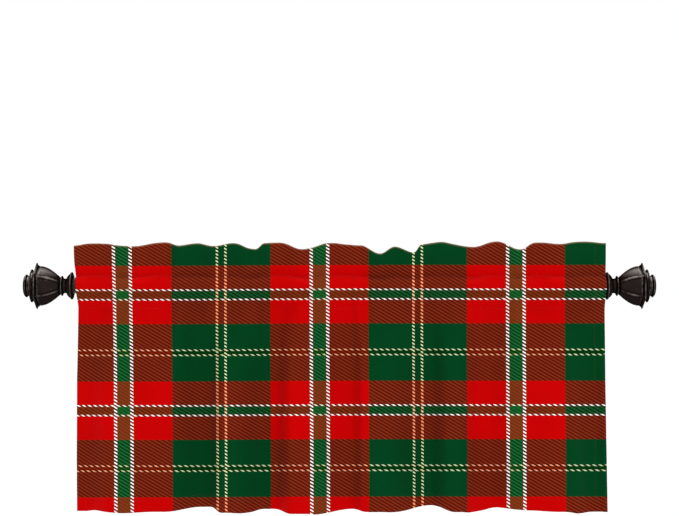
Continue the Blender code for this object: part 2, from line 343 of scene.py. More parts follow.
FOLDS = [
    Fold(-0.446, -0.006, 0.002),
    Fold(-0.432, -0.006, 0.003),
    Fold(-0.378, 0.024, 0.007),
    Fold(-0.298, 0.007, 0.008),
    Fold(-0.226, -0.019, 0.006),
    Fold(-0.188, 0.018, 0.008),
    Fold(-0.118, -0.013, 0.010),
    Fold(-0.068, 0.025, 0.012),
    Fold(0.010, -0.008, 0.012),
    Fold(0.058, 0.012, 0.018),
    Fold(0.147, -0.017, 0.006),
    Fold(0.190, 0.014, 0.008),
    Fold(0.246, -0.016, 0.006),
    Fold(0.304, 0.006, 0.008),
    Fold(0.376, 0.018, 0.012),
    Fold(0.430, -0.006, 0.006),
    Fold(0.446, -0.002, 0.004),
]

HEM_LINE = [
    Drop(-0.446, -0.3791, 0.014),
    Drop(-0.402, -0.3758, 0.002),
    Drop(-0.350, -0.3782, 0.008),
    Drop(-0.301, -0.3784, 0.006),
    Drop(-0.226, -0.3742, 0.010),
    Drop(-0.192, -0.3786, 0.006),
    Drop(-0.156, -0.3805, 0.004),
    Drop(-0.120, -0.3766, 0.006),
    Drop(-0.068, -0.3792, 0.012),
    Drop(-0.030, -0.3816, 0.004),
    Drop(0.026, -0.3761, 0.004),
    Drop(0.058, -0.3780, 0.012),
    Drop(0.096, -0.3789, 0.004),
    Drop(0.162, -0.3711, 0.004),
    Drop(0.197, -0.3776, 0.004),
    Drop(0.226, -0.3809, 0.004),
    Drop(0.274, -0.3736, 0.004),
    Drop(0.326, -0.3765, 0.004),
    Drop(0.370, -0.3769, 0.008),
    Drop(0.406, -0.3802, 0.004),
    Drop(0.446, -0.3802, 0.006),
]

SIDES = [
    Side(-0.379, -0.4415, 0.4505),
    Side(-0.293, -0.4420, 0.4490),
    Side(-0.160, -0.4415, 0.4465),
    Side(-0.034, -0.4380, 0.4450),
    Side(0.014, -0.4405, 0.4450),
    Side(0.040, -0.4435, 0.4455),
    Side(0.074, -0.4455, 0.4465),
]

CREASES = [
    Crease(-0.432, 0.20, 0.004, 0.009, 0.0020),
    Crease(-0.405, 0.14, 0.006, 0.009, -0.0022),
    Crease(-0.381, 0.60, 0.000, 0.008, 0.0032),
    Crease(-0.355, 0.12, -0.004, 0.008, -0.0016),
    Crease(-0.323, 0.12, -0.004, 0.009, -0.0028),
    Crease(-0.299, 0.13, 0.004, 0.011, 0.0048),
    Crease(-0.268, 0.16, 0.004, 0.010, 0.0020),
    Crease(-0.241, 0.12, -0.003, 0.009, -0.0026),
    Crease(-0.223, 0.10, 0.002, 0.007, 0.0022),
    Crease(-0.204, 0.12, 0.000, 0.008, -0.0028),
    Crease(-0.184, 0.30, 0.006, 0.011, 0.0058),
    Crease(-0.160, 0.24, 0.010, 0.012, 0.0028),
    Crease(-0.129, 0.12, 0.003, 0.009, -0.0016),
    Crease(-0.095, 0.16, -0.010, 0.010, -0.0022),
    Crease(-0.068, 0.12, 0.000, 0.009, 0.0034),
    Crease(-0.041, 0.11, 0.005, 0.008, 0.0012),
    Crease(-0.013, 0.24, -0.006, 0.010, 0.0018),
    Crease(0.018, 0.12, 0.000, 0.009, -0.0028),
    Crease(0.034, 0.30, 0.004, 0.010, 0.0054),
    Crease(0.062, 0.16, -0.004, 0.010, 0.0018),
    Crease(0.093, 0.12, 0.003, 0.010, 0.0032),
    Crease(0.120, 0.20, 0.004, 0.011, 0.0020),
    Crease(0.143, 0.16, 0.002, 0.010, -0.0036),
    Crease(0.168, 0.16, 0.004, 0.010, 0.0048),
    Crease(0.190, 0.20, 0.010, 0.012, 0.0036),
    Crease(0.222, 0.12, -0.003, 0.009, -0.0026),
    Crease(0.238, 0.12, 0.004, 0.008, 0.0032),
    Crease(0.262, 0.10, 0.003, 0.008, -0.0014),
    Crease(0.297, 0.17, -0.008, 0.010, 0.0018),
    Crease(0.330, 0.12, 0.004, 0.009, -0.0014),
    Crease(0.366, 0.36, 0.012, 0.010, 0.0028),
    Crease(0.392, 0.14, -0.005, 0.009, -0.0018),
    Crease(0.424, 0.16, 0.004, 0.009, 0.0018),
]

SKIRT_SWELL = Ripple(0.0030, 0.060, 0.30, 1.3)
SKIRT_RIPPLE = Ripple(0.0012, 0.022, 0.12, 4.7)
SKIRT_PUCKER = Ripple(0.0004, 0.012, 0.018, 8.1)
BOTTOM_SEAM_PUCKER = Ripple(0.0009, 0.013, 0.030, 11.9)
POCKET_SWELL = Ripple(0.0042, 0.027, 0.060, 15.3)
POCKET_RIPPLE = Ripple(0.0010, 0.013, 0.024, 19.7)
POCKET_PUCKER = Ripple(0.0006, 0.011, 1.0, 23.1)
TOP_EDGE_RIPPLE = Ripple(0.0008, 0.020, 1.0, 27.3)
TOP_EDGE_SWAY = Ripple(0.0030, 0.034, 1.0, 31.9)
HEADING_SWELL = Ripple(0.0016, 0.018, 0.050, 35.1)
HEADING_RIPPLE = Ripple(0.0008, 0.012, 0.020, 39.3)
CREASE_ABOVE = 0.030  # how far up the pocket from the bottom seam a crease reaches
PUCKER_START = 0.006  # below the bottom seam, its puckers grow in this distance
PUCKER_FADE = 0.018  # and die away in this one
SEAM_PINCH = 0.012  # how far from a seam the two plies lie close together
EDGE_PULL = 10  # how sharply the waver of the side edges dies away towards the middle

COLUMNS = 268
HEM_COLUMNS = 6  # columns of the cloth that lie under each side hem
SKIRT_ROWS = 66
POCKET_ROWS = 26
HEADING_ROWS = 16
BACK_ROWS = 20

PRINT_CREEP = 0.05  # least share of its length that the print moves on where the cloth turns from view
PRINT_RISE = 0.0015  # how much higher the print lies from the middle on than at the left
PRINT_RISE_FROM = -0.315
PRINT_RISE_OVER = 0.35
PRINT_SHIFT = 0.0027  # how far to the left the print is drawn at the left end of the pocket
PRINT_SHIFT_FROM = (-0.17, -0.165)  # across and up
PRINT_SHIFT_OVER = (0.25, 0.20)
PRINT_DRIFT = 0.0012  # how far to the right it drifts towards the hem
PRINT_DRIFT_FROM = -0.04
PRINT_DRIFT_OVER = 0.30


def mix(low, high, share):
    return low + (high - low) * share


def ease(share):
    """Rounded step from 0 to 1."""
    share = min(max(share, 0.0), 1.0)
    return 0.5 - 0.5 * cos(pi * share)


def wave(rows, x, column, flat=None):
    """The value of a table's column at x, rounded over between its rows."""
    places = [row.x for row in rows]
    after = min(max(bisect_right(places, x), 1), len(rows) - 1)
    a, b = rows[after - 1], rows[after]
    start, end = a.x, b.x
    if flat:
        start, end = start + getattr(a, flat), end - getattr(b, flat)
    return mix(getattr(a, column), getattr(b, column), ease((x - start) / (end - start)))


def ripple(kind, x, along=0.0):
    """How far ripples of this kind push the cloth, at a distance along it."""
    return kind.depth * noise.noise(Vector((x / kind.across, along / kind.along, kind.seed)))


LEAST_OUT = min(row.out for row in GATHERS)
MOST_OUT = max(row.out for row in GATHERS)


def creased(x, below):
    """How far the creases push the cloth out, at a distance below the bottom seam, or above if negative."""
    push = 0.0
    for crease in CREASES:
        reach = crease.length if below > 0 else CREASE_ABOVE
        fade = max(0.0, 1 - abs(below) / reach)
        apart = (x - crease.x - crease.drift * below / crease.length) / crease.width
        if fade and abs(apart) < 3:
            push += crease.depth * fade * fade * exp(-apart * apart)
    return push


def side_zone(x):
    """1 at the side edges, 0 from a little past the side hems inwards."""
    return 1 - ease((HUNG_HALF - abs(x) - SIDE_HEM) / (SIDE_ZONE - SIDE_HEM))


def skirt_out(x, share):
    """How far out the skirt is, from 0 at the bottom seam to 1 at the hem."""
    lean = (wave(GATHERS, x, "out") - LEAST_OUT) / (MOST_OUT - LEAST_OUT)
    seam = SEAM_SWAY * POCKET_SLACK * (2 * lean - 1)
    out = mix(seam, wave(FOLDS, x, "out", "flat"), 1 - (1 - share) ** FOLD_OPENING)
    below = share * (BOTTOM_SEAM - HEM_HEIGHT)
    out += creased(x, below)
    out += ripple(SKIRT_SWELL, x, below) * ease(3 * share)
    out += ripple(SKIRT_RIPPLE, x, below) * (1 - 0.5 * share) * ease(12 * share)
    out += ripple(SKIRT_PUCKER, x, below) * ease(8 * share)
    out += ripple(BOTTOM_SEAM_PUCKER, x, below) * ease(below / PUCKER_START) * exp(-below / PUCKER_FADE)
    return out


def skirt_point(x, share, behind=0.0):
    hem = wave(HEM_LINE, x, "z", "flat")
    return skirt_out(x, share) - behind, mix(BOTTOM_SEAM, hem, share)


def hem_rows(x):
    """The bottom hem, from its tucked-in raw edge, up to its top fold and down to the bottom fold."""
    drop = BOTTOM_SEAM - HEM_HEIGHT
    tuck = mix(*TUCKED_BEHIND, side_zone(x))
    stand = mix(*TURNED_BEHIND, side_zone(x))
    rows = [skirt_point(x, 1 - up / drop, tuck) for up in (*HEM_TUCKED, HEM - HEM_BEND)]
    rows.append(skirt_point(x, 1 - HEM / drop, (tuck + stand) / 2))
    rows += [skirt_point(x, 1 - up / drop, stand) for up in (HEM - HEM_BEND, *HEM_TURNED)]
    rows.append(skirt_point(x, 1 - HEM_BEND / 2 / drop, HEM_ROUND[0] * stand))
    rows.append(skirt_point(x, 1, HEM_ROUND[1] * stand))
    return rows


def seam_angle(x):
    """Where the top seam lies round the rod: 90 degrees is straight above its axis."""
    return pi / 2 - SEAM_FRONT - SEAM_LEAN * wave(GATHERS, x, "out") / MOST_OUT


def pocket_half(x, facing, count, spread):
    """One half of the pocket, from the top seam to the bottom seam. facing is 1 towards the room."""
    lean = (wave(GATHERS, x, "out") - LEAST_OUT) / (MOST_OUT - LEAST_OUT)
    bulge = POCKET_SLACK * (lean if facing > 0 else 1 - lean)
    top = seam_angle(x)
    start = (top if facing > 0 else pi - top) - spread / POCKET_RADIUS
    end = (skirt_out(x, 0) * facing + spread, BOTTOM_SEAM)
    leave = atan2(end[1], end[0]) + acos(POCKET_RADIUS / hypot(*end))
    rows = []
    for step in range(count + 1):
        share = step / count
        angle = mix(start, leave, min(share / ARC_SHARE, 1.0))
        radius = POCKET_RADIUS + SEAM_STAND * (1 - ease(share / SEAM_FADE))
        out, z = radius * cos(angle), radius * sin(angle)
        straight = max(share - ARC_SHARE, 0.0) / (1 - ARC_SHARE)
        out, z = mix(out, end[0], straight), mix(z, end[1], straight)
        stand = bulge * sin(pi * share) ** 2
        down = share * HALF_POCKET * facing
        loose = ease(4 * share) * ease(4 * (1 - share))
        stand += loose * (POCKET_PUFF + ripple(POCKET_SWELL, x, down))
        stand += loose * ripple(POCKET_RIPPLE, x, down)
        stand += (1 - loose) * sin(pi * share) * ripple(POCKET_PUCKER, x, facing)
        stand += share * share * creased(x, -CREASE_ABOVE * (1 - share)) * loose
        rows.append((facing * (out + stand * cos(angle)), z + stand * sin(angle)))
    return rows


def heading_rows(x, facing, count):
    """The heading's front or back ply, from the top seam up to just under its top fold."""
    lean = wave(GATHERS, x, "out")
    up = seam_angle(x)
    foot = ((POCKET_RADIUS + SEAM_STAND) * cos(up), (POCKET_RADIUS + SEAM_STAND) * sin(up))
    rise = wave(GATHERS, x, "rise") + ripple(TOP_EDGE_RIPPLE, x)
    tip = (lean + ripple(TOP_EDGE_SWAY, x), rise)
    reach = HEADING_KNEE * (tip[1] - foot[1])
    slope = mix(up, pi / 2, HEADING_LIFT)
    knee = (foot[0] + reach * cos(slope), foot[1] + reach * sin(slope))
    rows = []
    for step in range(count + 1):
        share = step / count
        point = [mix(mix(foot[k], knee[k], share), mix(knee[k], tip[k], share), share) for k in (0, 1)]
        run = [mix(knee[k] - foot[k], tip[k] - knee[k], share) for k in (0, 1)]
        length = hypot(*run)
        height = share * (tip[1] - foot[1])
        apart = mix(SEWN_APART[0], LOOSE_APART, ease(height / SEAM_PINCH))
        apart = mix(apart, SEWN_APART[1], side_zone(x))
        sway = ripple(HEADING_SWELL, x, height) * ease(2 * share)
        sway += ripple(HEADING_RIPPLE, x, height) * sin(pi * min(share * 1.4, 1))
        push = facing * apart + sway
        rows.append((point[0] + push * run[1] / length, point[1] - push * run[0] / length))
    return rows


def cloth_path(x):
    """The cloth from the hem's raw edge, up the front, over the heading and down the back of the pocket."""
    spread = mix(*SEWN_APART, side_zone(x))
    hem = hem_rows(x)
    skirt = [skirt_point(x, 1 - step / SKIRT_ROWS) for step in range(SKIRT_ROWS)]
    skirt = [(out + spread * ease(1 - (BOTTOM_SEAM - z) / SEAM_EASE), z) for out, z in skirt]
    front = pocket_half(x, 1, POCKET_ROWS, spread)[::-1]
    ruffle = heading_rows(x, 1, HEADING_ROWS)[1:]
    behind = heading_rows(x, -1, HEADING_ROWS)[::-1]
    ridge = ((ruffle[-1][0] + behind[0][0]) / 2, max(ruffle[-1][1], behind[0][1]) + TOP_FOLD)
    back = pocket_half(x, -1, BACK_ROWS, spread)[1:]
    apart = spread + SIDE_HEM_STEP * side_zone(x)
    tail = []
    for part in (0.5, 1.0):
        below = TAIL * part
        out = skirt_out(x, below / (BOTTOM_SEAM - HEM_HEIGHT)) - apart - TAIL_FLARE * part
        tail.append((out, BOTTOM_SEAM - below))
    rows = hem + skirt + front + ruffle + [ridge] + behind + back + tail
    return rows, len(hem), len(hem) + SKIRT_ROWS + POCKET_ROWS + HEADING_ROWS + 1


def placed(x, out, z):
    """A point of the cloth. The side edges waver, and pull along only the cloth next to them."""
    heights = [row.z for row in SIDES]
    after = min(max(bisect_right(heights, z), 1), len(SIDES) - 1)
    a, b = SIDES[after - 1], SIDES[after]
    share = min(max((z - a.z) / (b.z - a.z), 0.0), 1.0)
    left, right = mix(a.left, b.left, share) + HUNG_HALF, mix(a.right, b.right, share) - HUNG_HALF
    pull = (left if x < 0 else right) * (abs(x) / HUNG_HALF) ** EDGE_PULL
    return Vector((x + pull, -out, z))


def print_heights(rows, hem_end, ridge):
    """Where each point of a column lies up the print: by its height on the front, by distance elsewhere."""
    heights = [rows[hem_end][1]] * len(rows)
    for k in range(hem_end, 0, -1):
        heights[k - 1] = heights[k] - hypot(rows[k][0] - rows[k - 1][0], rows[k][1] - rows[k - 1][1])
    for k in range(hem_end + 1, len(rows)):
        run = hypot(rows[k][0] - rows[k - 1][0], rows[k][1] - rows[k - 1][1])
        climb = rows[k][1] - rows[k - 1][1]
        heights[k] = heights[k - 1] + (max(climb, PRINT_CREEP * run) if k < ridge else run)
    return heights


def level(x, height, out):
    """A place on the print, which looks straight and level from the front although the folds come nearer."""
    nearer = DISTANCE / (DISTANCE - out)
    rise = PRINT_RISE * ease((x - PRINT_RISE_FROM) / PRINT_RISE_OVER)
    shift = PRINT_SHIFT * ease((PRINT_SHIFT_FROM[0] - x) / PRINT_SHIFT_OVER[0])
    shift *= ease((height - PRINT_SHIFT_FROM[1]) / PRINT_SHIFT_OVER[1])
    shift -= PRINT_DRIFT * ease((PRINT_DRIFT_FROM - height) / PRINT_DRIFT_OVER)
    return x * nearer + shift, camera.location.z + (height - camera.location.z) * nearer - rise


# Points and their places on the print, column by column.
columns = []
prints = []
for column in range(COLUMNS + 1):
    x = mix(-HUNG_HALF, HUNG_HALF, column / COLUMNS)
    rows, hem_end, ridge = cloth_path(x)
    columns.append([placed(x, out, z) for out, z in rows])
    heights = print_heights(rows, hem_end, ridge)
    prints.append([level(x, height, out) for height, (out, _) in zip(heights, rows)])


def facing_out(column, row):
    """The direction in which the cloth's printed face looks at a point."""
    last_column, last_row = len(columns) - 1, len(columns[0]) - 1
    across = columns[min(column + 1, last_column)][row] - columns[max(column - 1, 0)][row]
    up = columns[column][min(row + 1, last_row)] - columns[column][max(row - 1, 0)]
    return across.cross(up).normalized()


def side_hem(edge, step):
    """One side hem's columns, from its raw edge to the fold. step is 1 at the left edge, -1 at the right."""
    made = []
    width = 2 * HUNG_HALF / COLUMNS
    for under in range(HEM_COLUMNS, -1, -1):
        place = edge + step * under
        points = [point - facing_out(place, row) * PLY for row, point in enumerate(columns[place])]
        beyond = step * width * (under + FOLD_PRINT)
        shown = [(u - beyond, v) for (u, _), (_, v) in zip(prints[edge], prints[place])]
        made.append((points, shown))
    points = [
        point - facing_out(edge, row) * PLY / 2 - Vector((step * PLY * FOLD_BOW, 0, 0))
        for row, point in enumerate(columns[edge])
    ]
    made.append((points, [(u - step * width * FOLD_PRINT / 2, v) for u, v in prints[edge]]))
    return made


left_hem = side_hem(0, 1)
right_hem = side_hem(COLUMNS, -1)[::-1]
sewn = [*left_hem, *zip(columns, prints), *right_hem]

vertices = [point for points, _ in sewn for point in points]
spots = [spot for _, shown in sewn for spot in shown]
high = len(columns[0])
faces = []
for column in range(len(sewn) - 1):
    for row in range(high - 1):
        corner = column * high + row
        faces.append((corner, corner + high, corner + high + 1, corner + 1))
mesh = bpy.data.meshes.new("tartan_valance")
mesh.from_pydata(vertices, [], faces)
mesh.materials.append(None)  # for the printed face
mesh.materials.append(None)  # for the reverse
layer = mesh.uv_layers.new(name="Print")
for loop in mesh.loops:
    layer.data[loop.index].uv = spots[loop.vertex_index]
# Marks the row that carries the painted highlight along the top fold.
fold_highlight_marks = mesh.attributes.new("fold_highlight", "FLOAT", "POINT")
for index in range(len(vertices)):
    fold_highlight_marks.data[index].value = 1.0 if index % high == ridge - 1 else 0.0  # the last row before the top fold
valance = bpy.data.objects.new("tartan_valance", mesh)
bpy.context.collection.objects.link(valance)

for thing in bpy.data.objects:
    thing.select_set(False)
valance.select_set(True)
bpy.context.view_layer.objects.active = valance
bpy.ops.object.shade_smooth()
thickness = valance.modifiers.new("thickness", "SOLIDIFY")
thickness.thickness = WOVEN
thickness.offset = -1
thickness.material_offset = 1
bpy.ops.object.modifier_apply(modifier="thickness")


# The tartan is printed on the face. Its distances are in metres on the hung cloth: across from the middle
# of a red band, and down from the middle of a red row. Dashes and hatching follow one slanting twill.
ACROSS = 0.3300  # one repeat across, and up
UP = 0.1945
RED_BAND_X = -0.0337
RED_ROW_Z = -0.0153
RED_HALF = (0.0824, 0.0490)
NARROW_HALF = (0.0108, 0.0067)
WHITE_AT = (0.0139, 0.0081)
WHITE_WIDE = (0.0054, 0.0026)
YELLOW_AT = (0.0071, 0.0042)  # from the middle of a green band
YELLOW_WIDE = (0.0039, 0.0026)
TWILL_ACROSS = 0.01006  # the slanting lines repeat in this distance across, and up
TWILL_UP = 0.00585
DASH = 0.44  # share of each repeat that a dash covers
DASH_BLUR = 0.06
STRIPE_BLUR = 0.22
BAND_BLUR = 0.0011  # width of a printed edge
LINE_BLUR = 0.0004
CLOUDING = 0.16  # how much the dye's depth varies over the cloth
GAP_SHADE = 0.35  # how dark the ground is between the dashes of a line
REVERSE_PALE = 0.32  # how much of the white ground shows on the reverse
WEAVE = 0.0007  # pitch of the real weave


def srgb(red, green, blue):
    """A colour from its values on a screen, 0 to 255."""
    shares = [value / 255 for value in (red, green, blue)]
    return (*[((share + 0.055) / 1.055) ** 2.4 if share > 0.04 else share / 12.92 for share in shares], 1)


# For each band down the cloth and row across it: the light and the dark stripes where they cross.
CROSSINGS = {
    ("red", "red"): (srgb(196, 1, 2), srgb(190, 0, 1)),
    ("red", "green"): (srgb(130, 43, 23), srgb(82, 17, 1)),
    ("red", "narrow"): (srgb(121, 53, 23), srgb(94, 24, 2)),
    ("green", "red"): (srgb(130, 43, 23), srgb(82, 17, 1)),
    ("green", "green"): (srgb(2, 64, 29), srgb(1, 60, 26)),
    ("green", "narrow"): (srgb(25, 85, 45), srgb(0, 43, 4)),
    ("narrow", "red"): (srgb(130, 54, 22), srgb(103, 46, 15)),
    ("narrow", "green"): (srgb(27, 98, 51), srgb(0, 54, 12)),
    ("narrow", "narrow"): (srgb(25, 96, 43), srgb(9, 73, 25)),
}
WHITE = srgb(255, 255, 246)
WHITE_ON_NARROW = srgb(226, 238, 202)
COLUMN_ON_GREEN = srgb(222, 234, 176)  # the yellow lines, down and across
COLUMN_ON_RED = srgb(255, 170, 120)
GAP_ON_RED = srgb(140, 20, 4)  # between the dashes of those
ROW_ON_GREEN = srgb(200, 222, 172)
ROW_ON_RED = srgb(250, 162, 124)
ROW_ON_NARROW = srgb(190, 216, 152)
YELLOW_OVER_YELLOW = srgb(250, 222, 150)
BETWEEN_ROWS = (1.0, 0.70, 0.28)  # tint of the ground between the two yellow lines of a row
TOP_FOLD_HIGHLIGHT = srgb(196, 150, 122)  # a painted highlight along the top fold
WHITE_GROUND = (0.62, 0.58, 0.54, 1)


def tartan(name, fade):
    """The print. fade is 0 on its face, and lets that share of the white ground through on the reverse."""
    made, start, shader = new_material(name)
    spot = start.node("UVMap", {"uv_map": "Print"})
    u = start.node("SeparateXYZ", None, {0: spot}, out=0)
    v = start.node("SeparateXYZ", None, {0: spot}, out=1)

    def inside(distance, half, blur):
        """1 where a distance is less than half, 0 outside."""
        return ((half - distance) / blur + 0.5).clamped()

    def bands(distance, size, repeat):
        """Masks of the red band, the narrow band, the white lines, the yellow lines and between those."""
        red = inside(distance, RED_HALF[size], BAND_BLUR)
        narrow = inside(distance, NARROW_HALF[size], BAND_BLUR)
        white = inside((distance - WHITE_AT[size]).math("ABSOLUTE"), WHITE_WIDE[size] / 2, LINE_BLUR)
        from_green = repeat / 2 - distance
        yellow = inside((from_green - YELLOW_AT[size]).math("ABSOLUTE"), YELLOW_WIDE[size] / 2, LINE_BLUR)
        return red, narrow, white, yellow, inside(from_green, YELLOW_AT[size], LINE_BLUR)

    across = (u - RED_BAND_X).math("PINGPONG", ACROSS / 2)
    up = (v - RED_ROW_Z).math("PINGPONG", UP / 2)
    red_x, narrow_x, white_x, yellow_x, _ = bands(across, 0, ACROSS)
    red_z, narrow_z, white_z, yellow_z, between_z = bands(up, 1, UP)

    def ground(stripe):
        """The light (0) or dark (1) stripes of the ground, over all the crossings."""
        rows = {}
        for row in ("red", "green", "narrow"):
            shade = {band: CROSSINGS[band, row][stripe] for band in ("red", "green", "narrow")}
            rows[row] = narrow_x.between(red_x.between(shade["green"], shade["red"]), shade["narrow"])
        return narrow_z.between(red_z.between(rows["green"], rows["red"]), rows["narrow"])

    twill = (u / TWILL_ACROSS + v / TWILL_UP).math("FRACT")
    stripe = inside((twill - 0.5).math("ABSOLUTE"), 1 / 4, STRIPE_BLUR)
    dash = inside((twill - 0.5).math("ABSOLUTE"), DASH / 2, DASH_BLUR)
    colour = stripe.between(ground(1), ground(0))
    tinted = start.node("VectorMath", {"operation": "MULTIPLY"}, {0: colour, 1: BETWEEN_ROWS})
    colour = between_z.between(colour, tinted)
    line = white_x.math("MAXIMUM", white_z).math("MAXIMUM", yellow_x.math("MAXIMUM", yellow_z))
    dark = start.node("VectorMath", {"operation": "SCALE"}, {0: colour, "Scale": GAP_SHADE})
    gap = (yellow_x * red_z).between(dark, GAP_ON_RED)
    colour = (line * (1 - dash)).between(colour, gap)
    yellow_row = narrow_x.between(red_x.between(ROW_ON_GREEN, ROW_ON_RED), ROW_ON_NARROW)
    colour = (yellow_z * dash).between(colour, yellow_row)
    colour = (white_z * dash).between(colour, narrow_x.between(WHITE, WHITE_ON_NARROW))
    plain_red = red_z * (1 - inside(up, WHITE_AT[1] + WHITE_WIDE[1] / 2, LINE_BLUR))
    yellow_column = plain_red.between(COLUMN_ON_GREEN, COLUMN_ON_RED)
    colour = (yellow_x * dash).between(colour, yellow_z.between(yellow_column, YELLOW_OVER_YELLOW))
    colour = (white_x * dash).between(colour, WHITE)

    patchy = start.node("TexNoise", None, {"Vector": spot, "Scale": 14.0, "Detail": 3.0})
    depth = patchy * CLOUDING + (1 - CLOUDING / 2)
    clouded = start.node("VectorMath", {"operation": "SCALE"}, {0: colour, "Scale": depth})
    # A painted highlight along the top fold, in patches.
    fold = start.node("Attribute", {"attribute_name": "fold_highlight"}, out=2).math("POWER", 4.0)
    painted_fold_highlight = (fold * (patchy * 2.0)).clamped() * 0.55
    colour = painted_fold_highlight.between(clouded, TOP_FOLD_HIGHLIGHT)
    if fade:
        colour = start.node("Mix", {"data_type": "RGBA"}, {0: fade, 6: colour, 7: WHITE_GROUND}, out=2)

    warp = (u * (tau / WEAVE)).math("SINE")
    weft = (v * (tau / WEAVE)).math("SINE")
    ribs = ((u + v) * (tau / WEAVE / 2)).math("SINE")
    fuzz = start.node("TexNoise", None, {"Vector": spot, "Scale": 900.0, "Detail": 2.0})
    threads = warp * weft * 0.5 + ribs * 0.35 + fuzz * 0.5
    relief = start.node("Bump", None, {"Strength": 0.35, "Distance": 0.00015, "Height": threads})
    feed(start, shader, Base_Color=colour, Roughness=fuzz * 0.16 + 0.76, Normal=relief)
    shader.inputs["Specular IOR Level"].default_value = 0.02
    shader.inputs["Sheen Weight"].default_value = 0.01
    shader.inputs["Sheen Roughness"].default_value = 0.5
    return made


valance.data.materials[0] = tartan("tartan_print", 0.0)
valance.data.materials[1] = tartan("tartan_back", REVERSE_PALE)


# The sewing. Lockstitch in a fine dark thread, on both faces of the cloth: along the top and the bottom of
# the pocket, along the bottom hem and down both side hems.
STITCH = 0.0028
STITCH_PITCH = 0.0034
STITCH_TIP = 0.35  # how thin a stitch is where it dips into the cloth
STITCH_PROUD = 0.15  # how far its middle line stands off the cloth, as a share of the thread
STITCH_INSET = 5  # columns from a side edge to the side hem's stitches
HEM_STITCH_UP = 0.022
THREAD = 0.00024


def choose(piece, kind, wanted):
    """In edit mode, with only the edges or faces selected that are wanted."""
    bpy.ops.object.mode_set(mode="EDIT")
    bpy.ops.mesh.select_mode(type=kind)
    bpy.ops.mesh.select_all(action="DESELECT")
    bpy.ops.object.mode_set(mode="OBJECT")
    for part in piece.data.edges if kind == "EDGE" else piece.data.polygons:
        part.select = wanted(part)
    bpy.ops.object.mode_set(mode="EDIT")


# One stitch: a short round length of thread, drawn out thin at both ends.
bpy.ops.object.select_all(action="DESELECT")
bpy.ops.mesh.primitive_cylinder_add(vertices=5, radius=THREAD / 2, depth=STITCH / 2, end_fill_type="NGON")
bead = bpy.context.object
for end in (1, -1):
    choose(bead, "FACE", lambda face: face.normal.z * end > 0.9)
    bpy.ops.mesh.extrude_region_move(TRANSFORM_OT_translate={"value": (0, 0, end * STITCH / 4)})
    bpy.ops.transform.resize(value=(STITCH_TIP, STITCH_TIP, 1))
    bpy.ops.object.mode_set(mode="OBJECT")
bead_points = [vertex.co.copy() for vertex in bead.data.vertices]
bead_faces = [tuple(face.vertices) for face in bead.data.polygons]
bpy.data.objects.remove(bead)

thread_dark, start, shader = new_material("thread_dark")
place = start.node("TexCoord", out=3)
strands = start.node("TexNoise", None, {"Vector": place, "Scale": 2600.0, "Detail": 2.0})
colour = strands.between(srgb(58, 16, 10), srgb(88, 30, 18))
relief = start.node("Bump", None, {"Strength": 0.4, "Distance": 0.0001, "Height": strands})
feed(start, shader, Base_Color=colour, Roughness=strands * 0.2 + 0.5, Normal=relief)


def sew(name, runs):
    """One piece with a stitch every STITCH_PITCH along each run of (point, facing) pairs."""
    points, faces = [], []
    for run in runs:
        spare = 0.0
        for (a, look_a), (b, look_b) in zip(run, run[1:]):
            length = (b - a).length
            along = (b - a).normalized()
            while spare < length:
                share = spare / length
                look = look_a.lerp(look_b, share).normalized()
                side = look.cross(along).normalized()
                turn = Matrix((side, along.cross(side).normalized(), along)).transposed()
                centre = a.lerp(b, share) + look * THREAD * STITCH_PROUD
                base = len(points)
                points += [centre + turn @ spot for spot in bead_points]
                faces += [tuple(base + k for k in face) for face in bead_faces]
                spare += STITCH_PITCH
            spare -= length
    mesh = bpy.data.meshes.new(name)
    mesh.from_pydata(points, [], faces)
    mesh.materials.append(thread_dark)
    mesh.shade_smooth()
    made = bpy.data.objects.new(name, mesh)
    bpy.context.collection.objects.link(made)
    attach(made, "root")
    return made


def row_run(row):
    """Along the rod at one row of the cloth, on its printed face."""
    return [(columns[column][row], facing_out(column, row)) for column in range(1, COLUMNS)]


def column_run(column, rows, back=0.0):
    """Up the cloth at one column. back is how far behind its printed face the run lies."""
    run = []
    for row in rows:
        look = facing_out(column, row)
        run.append((columns[column][row] - look * back, -look if back else look))
    return run


bottom_seam = hem_end + SKIRT_ROWS
top_seam = bottom_seam + POCKET_ROWS
back_seam = top_seam + 2 * HEADING_ROWS + 2  # past both plies of the heading and its top fold
tail_seam = back_seam + BACK_ROWS
row_height = (BOTTOM_SEAM - HEM_HEIGHT) / SKIRT_ROWS
hem_seam = hem_end + round(HEM_STITCH_UP / row_height)
hem_back_seam = len(HEM_TUCKED) + 3  # the first height in the turned-up ply
side_seams = (STITCH_INSET, COLUMNS - STITCH_INSET)
whole_front = range(hem_end, top_seam + HEADING_ROWS)
skirt_back = range(hem_end + round(HEM / row_height), bottom_seam - 1)
stitching = [
    sew("pocket_stitching", [row_run(row) for row in (top_seam, bottom_seam, back_seam, tail_seam)]),
    sew("hem_stitching", [row_run(hem_seam), row_run(hem_back_seam)]),
    sew(
        "side_stitching",
        [column_run(column, whole_front) for column in side_seams]
        + [column_run(column, skirt_back, PLY + WOVEN) for column in side_seams],
    ),
]

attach(valance, "root")
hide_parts("valance_cloth")
